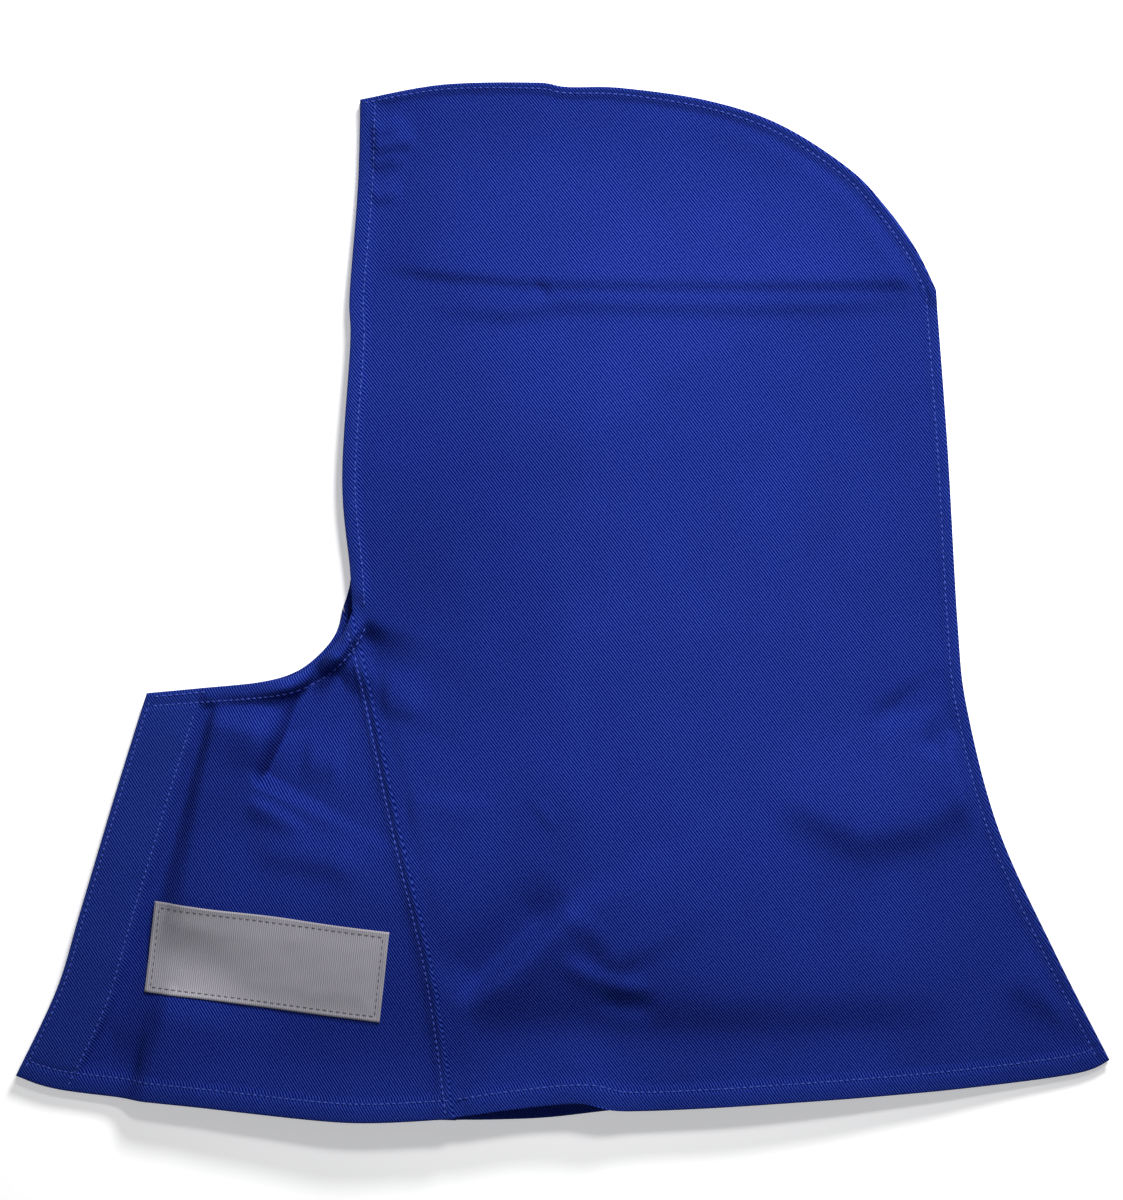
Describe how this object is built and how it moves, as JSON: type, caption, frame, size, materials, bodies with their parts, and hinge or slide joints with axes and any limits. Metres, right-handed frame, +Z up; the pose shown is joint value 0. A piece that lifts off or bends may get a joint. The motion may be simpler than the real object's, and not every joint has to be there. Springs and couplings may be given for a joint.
{
  "type": "welding hood",
  "caption": "Soft blue twill welding hood lying closed on its side, with an open face, a flared shoulder hem, a front bib with a fastened placket and a plain sewn label.",
  "frame": {"origin": "middle of the footprint on the surface that the hood lies on", "axes": "+X from the front closure towards the nape, +Y from the shoulder hem towards the crown, +Z up out of the surface, from the wearer's right half to the left half"},
  "size_m": [0.469, 0.4454, 0.0337],
  "materials": {
    "twill": "royal blue cotton twill, matt",
    "tape": "dark blue hook-and-loop tape",
    "label": "grey woven satin"
  },
  "bodies": {
    "root": {"left_side_panel": "twill", "right_side_panel": "twill", "left_bib": "twill", "right_bib": "twill", "closure_tape": "tape", "label": "label"}
  },
  "joints": []
}
